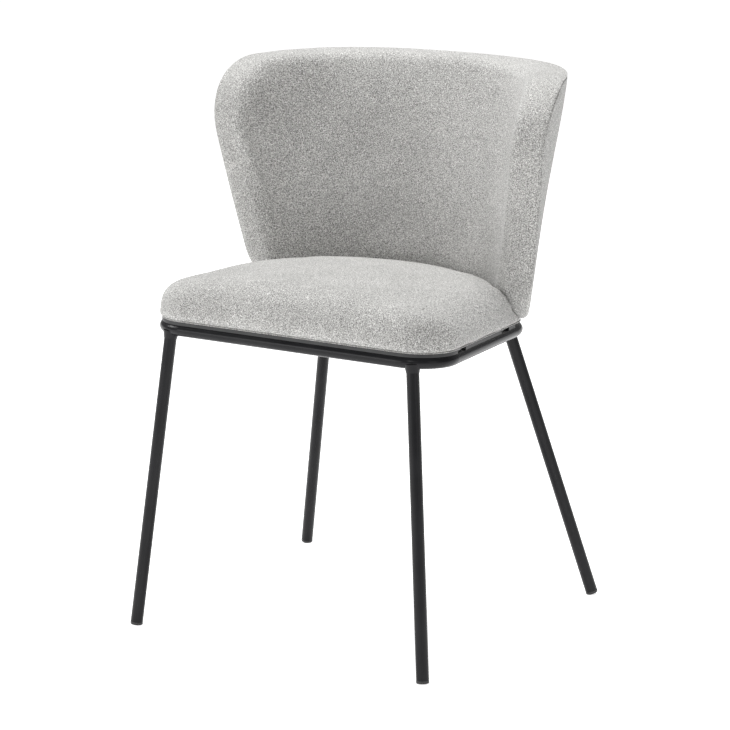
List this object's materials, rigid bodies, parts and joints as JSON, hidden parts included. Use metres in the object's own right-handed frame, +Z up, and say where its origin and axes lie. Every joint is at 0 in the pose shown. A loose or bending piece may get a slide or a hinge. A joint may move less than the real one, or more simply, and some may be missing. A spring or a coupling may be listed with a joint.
{
  "type": "dining chair",
  "caption": "Upholstered dining chair with a crowned seat pad and a wrap-around back on a slim black tube frame with splayed legs.",
  "frame": {"origin": "on the floor, under the middle of the chair's box", "axes": "+Z up; -Y is the chair's front, so a sitter faces -Y; +X is to the right of someone facing the chair's front"},
  "size_m": [0.5392, 0.4934, 0.7739],
  "materials": {
    "black_steel": "satin powder coat",
    "glide_plastic": "moulded, fine matt",
    "woven_cover": "light grey melange weave",
    "lining_cloth": "black non-woven cloth",
    "plywood": "unfinished birch plywood",
    "foam": "cut polyurethane foam",
    "wadding": "polyester fibre",
    "zinc_steel": "bright zinc plate"
  },
  "bodies": {
    "root": {"back_inner_cover": "woven_cover", "back_inner_foam": "foam", "back_outer_cover": "woven_cover", "back_outer_padding": "foam", "back_screw_washers": "zinc_steel", "back_screws": "zinc_steel", "back_shell": "plywood", "back_support_straps": "black_steel", "back_tee_nuts": "zinc_steel", "front_left_glide": "glide_plastic", "front_left_leg": "black_steel", "front_right_glide": "glide_plastic", "front_right_leg": "black_steel", "leg_welds": "black_steel", "rear_left_glide": "glide_plastic", "rear_left_leg": "black_steel", "rear_right_glide": "glide_plastic", "rear_right_leg": "black_steel", "seat_board": "plywood", "seat_cover": "woven_cover", "seat_foam": "foam", "seat_frame_ring": "black_steel", "seat_lining": "lining_cloth", "seat_mounting_tabs": "black_steel", "seat_rest_strips": "glide_plastic", "seat_screw_washers": "zinc_steel", "seat_screws": "zinc_steel", "seat_staples": "zinc_steel", "seat_tee_nuts": "zinc_steel", "seat_wadding": "wadding"}
  },
  "joints": []
}
